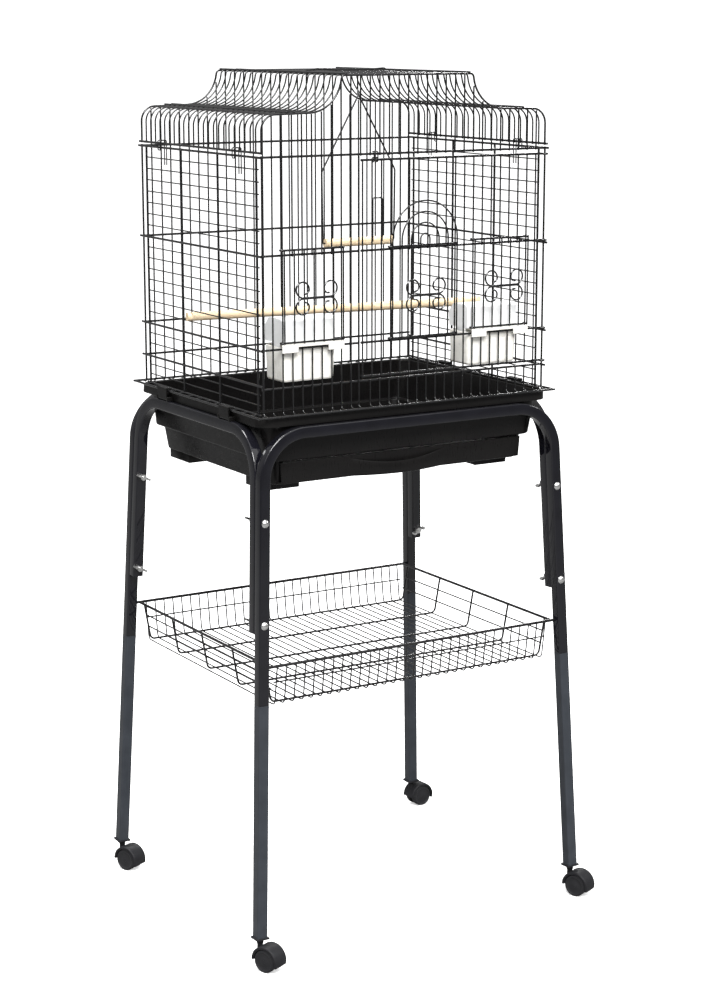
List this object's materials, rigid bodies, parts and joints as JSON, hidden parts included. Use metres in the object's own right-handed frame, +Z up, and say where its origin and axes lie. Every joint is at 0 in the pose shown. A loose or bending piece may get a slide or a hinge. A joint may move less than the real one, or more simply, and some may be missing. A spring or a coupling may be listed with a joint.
{
  "type": "bird cage on stand",
  "caption": "Wire bird cage with raised roof, slide doors, feeders, drawer base and a wheeled square-tube stand with a hanging wire basket.",
  "frame": {"origin": "centre of the bounding box in plan, on the floor under the wheels", "axes": "+Z up, front with the doors and the drawer towards -Y, the large door's hinge on +X"},
  "size_m": [0.5834, 0.5, 1.2233],
  "materials": {
    "gloss_black_tube": "gloss black powder coat over bent square tube",
    "slate_tube": "satin slate-black powder coat",
    "black_wire": "black dipped coating on welded wire",
    "tub_plastic": "charcoal moulded plastic, fine satin grain",
    "cream_plastic": "white moulded plastic",
    "clear_plastic": "clear plastic",
    "wood": "pale bare wood dowel",
    "zinc": "bright zinc plating",
    "caster_plastic": "dark grey moulded nylon",
    "wheel_plastic": "dark wheel, smooth tread",
    "axle_steel": "plain steel pin"
  },
  "bodies": {
    "cage_and_stand": {"stand_front_frame": "gloss_black_tube", "stand_back_frame": "gloss_black_tube", "stand_side_frame_left": "gloss_black_tube", "stand_side_frame_right": "gloss_black_tube", "lower_leg_front_left": "slate_tube", "lower_leg_front_right": "slate_tube", "lower_leg_back_left": "slate_tube", "lower_leg_back_right": "slate_tube", "stand_bolts": "zinc", "stand_wing_nuts": "zinc", "caster_plugs": "caster_plastic", "wire_basket": "black_wire", "base_tub": "tub_plastic", "back_panel": "black_wire", "left_panel": "black_wire", "right_panel": "black_wire", "front_panel": "black_wire", "roof": "black_wire", "roof_clips": "black_wire", "feeder_cup_left": "cream_plastic", "feeder_hood_left": "clear_plastic", "perch": "wood"},
    "carry_handle": {"carry_handle": "black_wire"},
    "large_front_door": {"large_front_door": "black_wire", "door_pull": "black_wire", "feeder_cup_right": "cream_plastic", "feeder_hood_right": "clear_plastic"},
    "door_latch": {"door_latch": "black_wire"},
    "centre_door": {"centre_door": "black_wire", "ornament_centre": "black_wire"},
    "feeder_door_right": {"feeder_door_right": "black_wire", "ornament_right": "black_wire"},
    "feeder_door_left": {"feeder_door_left": "black_wire", "ornament_left": "black_wire"},
    "drawer": {"drawer_tray": "tub_plastic"},
    "swing": {"swing_perch": "wood", "swing_wire": "black_wire"},
    "base_clip_front_left": {"base_clip_front_left": "tub_plastic"},
    "base_clip_front_right": {"base_clip_front_right": "tub_plastic"},
    "base_clip_back_left": {"base_clip_back_left": "tub_plastic"},
    "base_clip_back_right": {"base_clip_back_right": "tub_plastic"},
    "caster_front_left": {"caster_housing_front_left": "caster_plastic"},
    "wheels_front_left": {"caster_wheels_front_left": "wheel_plastic", "caster_axle_front_left": "axle_steel"},
    "caster_front_right": {"caster_housing_front_right": "caster_plastic"},
    "wheels_front_right": {"caster_wheels_front_right": "wheel_plastic", "caster_axle_front_right": "axle_steel"},
    "caster_back_left": {"caster_housing_back_left": "caster_plastic"},
    "wheels_back_left": {"caster_wheels_back_left": "wheel_plastic", "caster_axle_back_left": "axle_steel"},
    "caster_back_right": {"caster_housing_back_right": "caster_plastic"},
    "wheels_back_right": {"caster_wheels_back_right": "wheel_plastic", "caster_axle_back_right": "axle_steel"}
  },
  "joints": [
    {"name": "large_door_hinge", "type": "hinge", "parent": "cage_and_stand", "child": "large_front_door", "pos_m": [0.2171, -0.16819, 0.9565], "axis": [0, 0, 1], "range_deg": [0, 150]},
    {"name": "centre_door_slide", "type": "slide", "parent": "large_front_door", "child": "centre_door", "axis": [0, 0, 1], "range_m": [0, 0.1]},
    {"name": "right_feeder_door_slide", "type": "slide", "parent": "large_front_door", "child": "feeder_door_right", "axis": [0, 0, 1], "range_m": [0, 0.09]},
    {"name": "left_feeder_door_slide", "type": "slide", "parent": "cage_and_stand", "child": "feeder_door_left", "axis": [0, 0, 1], "range_m": [0, 0.09]},
    {"name": "door_latch_turn", "type": "hinge", "parent": "large_front_door", "child": "door_latch", "pos_m": [-0.0632, -0.16489, 1.1035], "axis": [1, 0, 0], "range_deg": [0, 100]},
    {"name": "drawer_slide", "type": "slide", "parent": "cage_and_stand", "child": "drawer", "axis": [0, -1, 0], "range_m": [0, 0.3]},
    {"name": "swing_pivot", "type": "hinge", "parent": "cage_and_stand", "child": "swing", "pos_m": [0.0176, 0.01156, 1.2165], "axis": [1, 0, 0], "range_deg": [-30, 30]},
    {"name": "carry_handle_turn", "type": "hinge", "parent": "cage_and_stand", "child": "carry_handle", "pos_m": [-0.0114, 0.01156, 1.2165], "axis": [-1, 0, 0], "range_deg": [0, 150]},
    {"name": "base_clip_front_left_turn", "type": "hinge", "parent": "cage_and_stand", "child": "base_clip_front_left", "pos_m": [-0.2544, -0.08344, 0.7547], "axis": [0, -1, 0], "range_deg": [0, 75]},
    {"name": "base_clip_front_right_turn", "type": "hinge", "parent": "cage_and_stand", "child": "base_clip_front_right", "pos_m": [0.2316, -0.08344, 0.7547], "axis": [0, 1, 0], "range_deg": [0, 75]},
    {"name": "base_clip_back_left_turn", "type": "hinge", "parent": "cage_and_stand", "child": "base_clip_back_left", "pos_m": [-0.2544, 0.10656, 0.7547], "axis": [0, -1, 0], "range_deg": [0, 75]},
    {"name": "base_clip_back_right_turn", "type": "hinge", "parent": "cage_and_stand", "child": "base_clip_back_right", "pos_m": [0.2316, 0.10656, 0.7547], "axis": [0, 1, 0], "range_deg": [0, 75]},
    {"name": "caster_front_left_swivel", "type": "hinge", "parent": "cage_and_stand", "child": "caster_front_left", "pos_m": [-0.27714, -0.21138, 0.0415], "axis": [0, 0, 1], "continuous": true},
    {"name": "wheels_front_left_spin", "type": "hinge", "parent": "caster_front_left", "child": "wheels_front_left", "pos_m": [-0.27104, -0.22509, 0.0165], "axis": [0.9135, 0.4068, 0], "continuous": true},
    {"name": "caster_front_right_swivel", "type": "hinge", "parent": "cage_and_stand", "child": "caster_front_right", "pos_m": [0.25434, -0.21138, 0.0415], "axis": [0, 0, 1], "continuous": true},
    {"name": "wheels_front_right_spin", "type": "hinge", "parent": "caster_front_right", "child": "wheels_front_right", "pos_m": [0.26044, -0.22509, 0.0165], "axis": [0.9135, 0.4068, 0], "continuous": true},
    {"name": "caster_back_left_swivel", "type": "hinge", "parent": "cage_and_stand", "child": "caster_back_left", "pos_m": [-0.27714, 0.2345, 0.0415], "axis": [0, 0, 1], "continuous": true},
    {"name": "wheels_back_left_spin", "type": "hinge", "parent": "caster_back_left", "child": "wheels_back_left", "pos_m": [-0.27104, 0.2208, 0.0165], "axis": [0.9135, 0.4068, 0], "continuous": true},
    {"name": "caster_back_right_swivel", "type": "hinge", "parent": "cage_and_stand", "child": "caster_back_right", "pos_m": [0.25434, 0.2345, 0.0415], "axis": [0, 0, 1], "continuous": true},
    {"name": "wheels_back_right_spin", "type": "hinge", "parent": "caster_back_right", "child": "wheels_back_right", "pos_m": [0.26931, 0.23555, 0.0165], "axis": [-0.0698, 0.9976, 0], "continuous": true}
  ]
}
